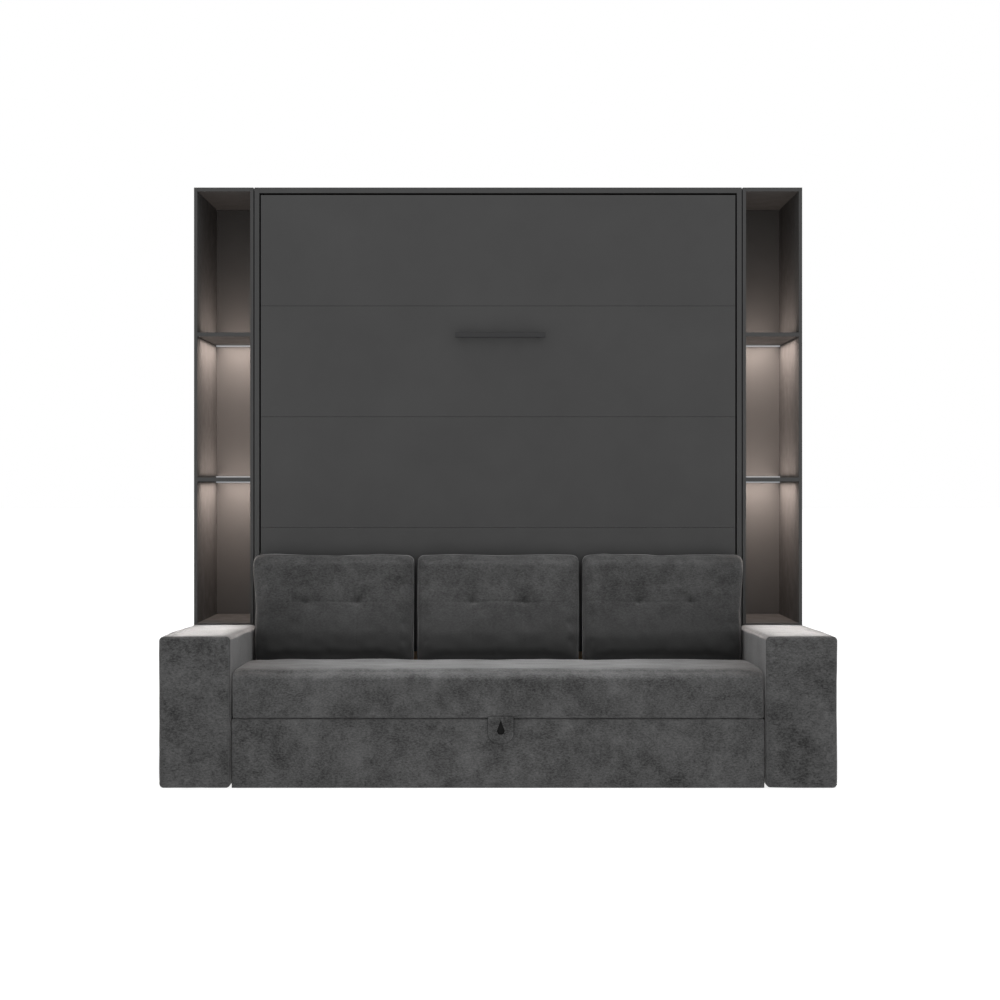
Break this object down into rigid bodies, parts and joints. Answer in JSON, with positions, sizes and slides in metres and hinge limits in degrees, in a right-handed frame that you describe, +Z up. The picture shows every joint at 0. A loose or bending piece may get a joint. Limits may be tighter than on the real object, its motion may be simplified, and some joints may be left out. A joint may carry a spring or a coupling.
{
  "type": "murphy wall bed",
  "caption": "Wall bed that folds up behind a flush front of equal boards, between lit open shelf units, with a sofa in front whose seat slides out.",
  "frame": {"origin": "on the floor at the middle of the overall footprint, with the bed folded up and the seat in", "axes": "+X to the right seen from the front, +Y into the wall, +Z up"},
  "size_m": [2.422, 1.204, 2.263],
  "materials": {
    "case_board": "matte",
    "front_board": "matte",
    "unit_board": "matte",
    "unit_back": "matte",
    "case_back_board": "matte",
    "frame_wood": "matte",
    "slat_wood": "satin",
    "handle_metal": "satin",
    "zinc_steel": "satin",
    "leg_steel": "satin",
    "strut_paint": "satin",
    "strut_chrome": "polished",
    "sofa_fabric": "matte",
    "cushion_fabric": "matte",
    "mattress_cover": "matte",
    "strap_webbing": "matte",
    "led_diffuser": "satin"
  },
  "bodies": {
    "frame": {"case_side_left": "case_board", "case_side_right": "case_board", "case_top": "case_board", "case_plinth": "case_board", "case_floor": "case_board", "case_back": "case_back_board", "wall_rail": "frame_wood", "case_mechanism_plate_left": "zinc_steel", "case_mechanism_plate_right": "zinc_steel", "unit_left_inner_side": "unit_board", "unit_left_outer_side": "unit_board", "unit_left_top": "unit_board", "unit_left_back": "unit_back", "unit_left_niche_floor": "unit_board", "unit_left_shelf_lower": "unit_board", "unit_left_shelf_upper": "unit_board", "unit_left_led_lower": "led_diffuser", "unit_left_led_upper": "led_diffuser", "unit_right_inner_side": "unit_board", "unit_right_outer_side": "unit_board", "unit_right_top": "unit_board", "unit_right_back": "unit_back", "unit_right_niche_floor": "unit_board", "unit_right_shelf_lower": "unit_board", "unit_right_shelf_upper": "unit_board", "unit_right_led_lower": "led_diffuser", "unit_right_led_upper": "led_diffuser", "sofa_arm_left": "sofa_fabric", "sofa_arm_right": "sofa_fabric", "base_front": "sofa_fabric", "base_floor": "frame_wood", "base_back": "case_board", "seat_runner_left": "zinc_steel", "seat_runner_right": "zinc_steel"},
    "bed": {"bed_front_board_1": "front_board", "bed_front_board_2": "front_board", "bed_front_board_3": "front_board", "bed_front_board_4": "front_board", "bed_handle": "handle_metal", "bed_rail_left": "frame_wood", "bed_rail_right": "frame_wood", "bed_head_rail": "frame_wood", "bed_foot_rail": "frame_wood", "bed_centre_beam": "frame_wood", "slat_base": "slat_wood", "mattress": "mattress_cover", "mattress_strap": "strap_webbing", "back_cushion_left": "cushion_fabric", "back_cushion_centre": "cushion_fabric", "back_cushion_right": "cushion_fabric", "bed_mechanism_plate_left": "zinc_steel", "bed_mechanism_plate_right": "zinc_steel"},
    "leg": {"folding_leg": "leg_steel"},
    "cylinder_left": {"strut_cylinder_left": "strut_paint"},
    "rod_left": {"strut_rod_left": "strut_chrome"},
    "cylinder_right": {"strut_cylinder_right": "strut_paint"},
    "rod_right": {"strut_rod_right": "strut_chrome"},
    "seat": {"seat_board": "frame_wood", "seat_cushion": "sofa_fabric", "seat_pull_tab": "sofa_fabric"}
  },
  "joints": [
    {"name": "bed_swing", "type": "hinge", "parent": "frame", "child": "bed", "pos_m": [0, 0.182, 0.56], "axis": [1, 0, 0], "range_deg": [0, 90], "stiffness_Nm_per_rad": 900, "springref_deg": -3.44},
    {"name": "leg_swing", "type": "hinge", "parent": "bed", "child": "leg", "pos_m": [0, 0.177, 2.208], "axis": [1, 0, 0], "range_deg": [0, 244.77]},
    {"name": "seat_slide", "type": "slide", "parent": "frame", "child": "seat", "axis": [0, -1, 0], "range_m": [0, 0.3]},
    {"name": "strut_left_swing", "type": "hinge", "parent": "frame", "child": "cylinder_left", "pos_m": [-0.935, 0.402, 1.1], "axis": [1, 0, 0], "range_deg": [0, 11.95]},
    {"name": "strut_left_stroke", "type": "slide", "parent": "cylinder_left", "child": "rod_left", "axis": [0, -0.28, -0.96], "range_m": [-0.2186, 0]},
    {"name": "strut_right_swing", "type": "hinge", "parent": "frame", "child": "cylinder_right", "pos_m": [0.935, 0.402, 1.1], "axis": [1, 0, 0], "range_deg": [0, 11.95]},
    {"name": "strut_right_stroke", "type": "slide", "parent": "cylinder_right", "child": "rod_right", "axis": [0, -0.28, -0.96], "range_m": [-0.2186, 0]}
  ],
  "couplings": [
    {"joint": "leg_swing", "follows": "bed_swing", "ratio": 2.7195},
    {"joint": "strut_left_swing", "follows": "bed_swing", "ratio": 0.13271},
    {"joint": "strut_left_stroke", "follows": "bed_swing", "m_per_rad": -0.1391},
    {"joint": "strut_right_swing", "follows": "bed_swing", "ratio": 0.13271},
    {"joint": "strut_right_stroke", "follows": "bed_swing", "m_per_rad": -0.1391}
  ]
}
